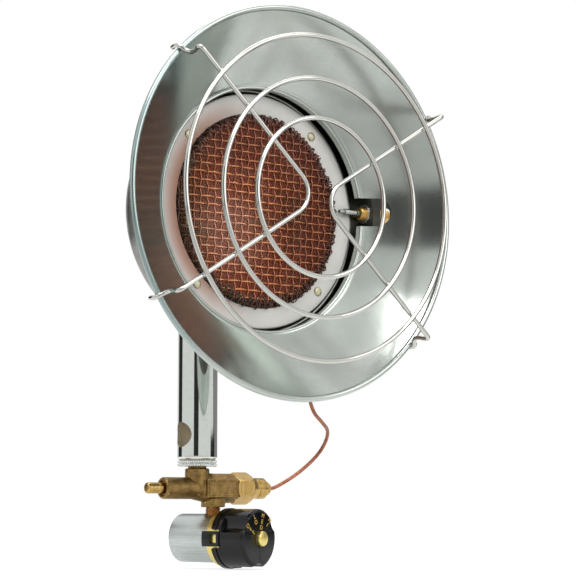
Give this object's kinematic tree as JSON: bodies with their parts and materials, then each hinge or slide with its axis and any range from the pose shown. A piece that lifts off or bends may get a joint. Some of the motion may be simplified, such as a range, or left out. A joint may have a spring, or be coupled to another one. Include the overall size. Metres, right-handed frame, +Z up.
{
  "type": "portable propane heater",
  "caption": "Radiant cylinder-top gas heater: dish reflector, round mesh burner, wire guard, mixing tube, brass safety valve with push button, and a regulator with a turning knob.",
  "frame": {"origin": "centre of the inlet socket's mouth, at the rear of the regulator", "axes": "+Y out of the inlet socket, away from the heater; +Z up along the mixing tube; the knob faces -Y"},
  "size_m": [0.243, 0.1756, 0.3411],
  "materials": {
    "aluminium": "turned and lightly brushed aluminium",
    "rubber": "matt black rubber",
    "plain_steel": "plain machined steel",
    "gold_plate": "bright gold-coloured plating",
    "knob_plastic": "satin black moulded plastic",
    "copper": "drawn copper with a light tarnish",
    "cast_brass": "sand-cast brass, fine grain",
    "machined_brass": "turned brass",
    "zinc_steel": "bright zinc plating",
    "chrome_tube": "polished chrome plating",
    "pressed_steel": "aluminised sheet, heat dulled",
    "burner_mesh": "red-brown oxidised alloy wire",
    "gasket_fibre": "white ceramic fibre",
    "ring_enamel": "pale heat-resistant finish",
    "rivet_metal": "plated steel, straw tint",
    "reflector_metal": "bright polished sheet",
    "guard_wire": "bright nickel-plated wire"
  },
  "bodies": {
    "heater": {"regulator_body": "aluminium", "inlet_nipple": "machined_brass", "inlet_seal": "rubber", "diaphragm": "rubber", "regulating_spring": "plain_steel", "cover_flange": "gold_plate", "outlet_nipple": "copper", "valve_body": "cast_brass", "button_gland": "machined_brass", "button_spring": "plain_steel", "magnet_unit": "plain_steel", "magnet_nut": "machined_brass", "lead_nut": "machined_brass", "thermocouple_lead": "copper", "gas_jet": "machined_brass", "lock_ring": "zinc_steel", "mixing_tube": "chrome_tube", "elbow_flange": "zinc_steel", "flange_rivets": "zinc_steel", "burner_pan": "pressed_steel", "flame_baffle": "pressed_steel", "inner_mesh": "burner_mesh", "outer_mesh": "burner_mesh", "mesh_gasket": "gasket_fibre", "mesh_retainer": "pressed_steel", "burner_ring": "ring_enamel", "ring_rivets": "rivet_metal", "reflector": "reflector_metal", "reflector_mount": "pressed_steel", "thermocouple_probe": "plain_steel", "probe_sleeve": "machined_brass", "probe_bracket": "pressed_steel", "guard_ring_outer": "guard_wire", "guard_ring_middle": "guard_wire", "guard_ring_inner": "guard_wire", "guard_wire_left": "guard_wire", "guard_wire_right": "guard_wire"},
    "knob": {"control_knob": "knob_plastic", "knob_cap": "gold_plate", "control_stem": "machined_brass"},
    "spring_follower": {"spring_seat": "machined_brass"},
    "gas_poppet": {"regulator_poppet": "plain_steel", "diaphragm_plate": "zinc_steel"},
    "button": {"push_button": "machined_brass", "button_rod": "plain_steel", "valve_poppet": "rubber"}
  },
  "joints": [
    {"name": "knob_turn", "type": "hinge", "parent": "heater", "child": "knob", "pos_m": [0, 0, 0], "axis": [0, -1, 0], "range_deg": [-58, 50]},
    {"name": "spring_follow", "type": "slide", "parent": "heater", "child": "spring_follower", "axis": [0, 1, 0], "range_m": [-0.0013, 0.00112], "deforming": ["regulating_spring"]},
    {"name": "poppet_follow", "type": "slide", "parent": "heater", "child": "gas_poppet", "axis": [0, 1, 0], "range_m": [-0.00026, 0.00022], "deforming": ["diaphragm"]},
    {"name": "button_push", "type": "slide", "parent": "heater", "child": "button", "axis": [0.9455, -0.3256, 0], "range_m": [0, 0.005], "stiffness_N_per_m": 500, "springref_m": -0.004, "deforming": ["button_spring"]}
  ],
  "couplings": [
    {"joint": "spring_follow", "follows": "knob_turn", "m_per_rad": 0.0012732},
    {"joint": "poppet_follow", "follows": "knob_turn", "m_per_rad": 0.00025}
  ]
}
